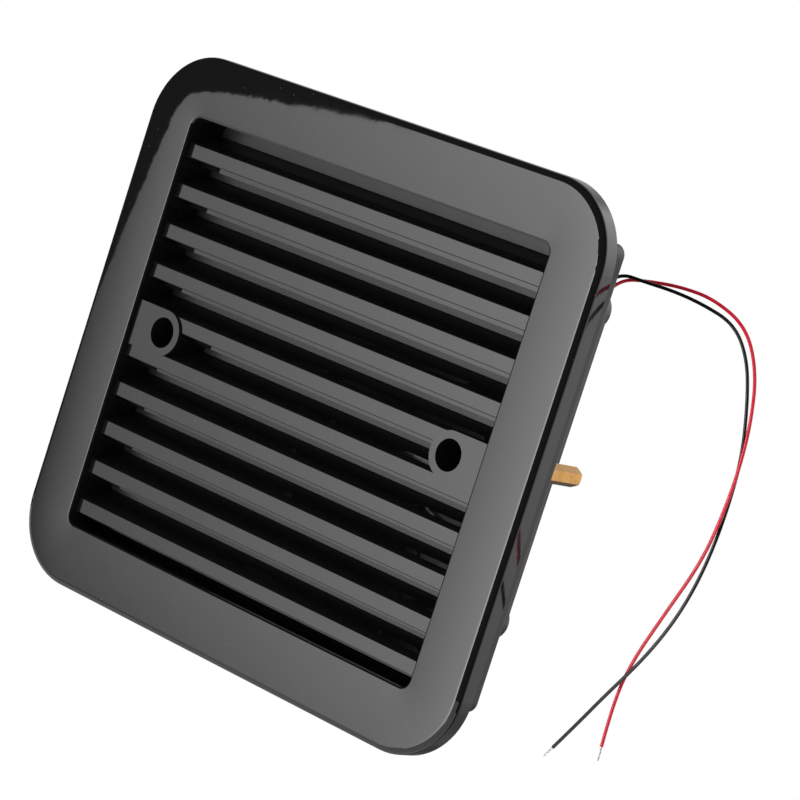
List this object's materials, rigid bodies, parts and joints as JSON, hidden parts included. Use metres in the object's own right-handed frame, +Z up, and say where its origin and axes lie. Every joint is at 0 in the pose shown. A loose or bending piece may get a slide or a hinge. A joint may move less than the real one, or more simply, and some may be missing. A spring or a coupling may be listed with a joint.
{
  "type": "louvred wall vent with fan",
  "caption": "Rounded-square louvred side-wall vent in gloss black with a brushless axial fan behind it, hex stand-offs at the sides and a red and a black bare-ended lead.",
  "frame": {"origin": "centre of the bezel's rear face, in the plane of the outside of the wall that the vent is fastened to", "axes": "+Z up, +Y into the wall towards the fan and stand-offs, louvred face looking along -Y, +X to the right seen from the front"},
  "size_m": [0.2845, 0.079, 0.217],
  "materials": {
    "gloss_black_abs": "high gloss moulded ABS",
    "matt_black_pbt": "fine matt moulded plastic",
    "black_zinc_steel": "black zinc plated steel",
    "zinc_steel": "bright zinc plated steel",
    "brass": "bright drawn brass",
    "turned_brass": "turned brass",
    "bearing_steel": "ground steel",
    "spring_steel": "bright spring steel",
    "silicon_steel": "stacked laminations",
    "cream_nylon": "natural nylon",
    "enamelled_copper": "enamelled copper winding",
    "green_laminate": "solder-masked board",
    "component_epoxy": "moulded epoxy",
    "capacitor_can": "satin can",
    "ferrite": "bonded ferrite",
    "black_pvc": "smooth PVC sleeve",
    "red_pvc": "smooth PVC sleeve",
    "tinned_copper": "tinned strands"
  },
  "bodies": {
    "housing": {"front_grille": "gloss_black_abs", "fan_housing": "gloss_black_abs", "housing_screws": "black_zinc_steel", "fan_mounting_screws": "black_zinc_steel", "cover_screws": "zinc_steel", "left_standoff": "brass", "right_standoff": "brass", "fan_frame": "matt_black_pbt", "bearing_tube": "turned_brass", "front_bearing_outer_race": "bearing_steel", "rear_bearing_outer_race": "bearing_steel", "stator_core": "silicon_steel", "stator_insulator_front": "cream_nylon", "stator_insulator_rear": "cream_nylon", "stator_coils": "enamelled_copper", "circuit_board": "green_laminate", "driver_chip": "component_epoxy", "hall_sensor": "component_epoxy", "filter_capacitor": "capacitor_can", "chip_resistors": "component_epoxy", "hub_lead_black": "black_pvc", "hub_lead_red": "red_pvc", "lead_black": "black_pvc", "lead_red": "red_pvc", "black_tip": "tinned_copper", "red_tip": "tinned_copper"},
    "rotor": {"impeller": "matt_black_pbt", "rotor_yoke": "zinc_steel", "ring_magnet": "ferrite", "shaft": "bearing_steel", "retaining_clip": "spring_steel", "preload_spring": "spring_steel", "front_bearing_inner_race": "bearing_steel", "rear_bearing_inner_race": "bearing_steel"},
    "bearing_balls": {"front_bearing_balls": "bearing_steel", "rear_bearing_balls": "bearing_steel"}
  },
  "joints": [
    {"name": "fan_spin", "type": "hinge", "parent": "housing", "child": "rotor", "pos_m": [0, 0.05, 0], "axis": [0, 1, 0], "continuous": true},
    {"name": "ball_orbit", "type": "hinge", "parent": "housing", "child": "bearing_balls", "pos_m": [0, 0.05, 0], "axis": [0, 1, 0], "continuous": true}
  ],
  "couplings": [
    {"joint": "ball_orbit", "follows": "fan_spin", "ratio": 0.36}
  ]
}
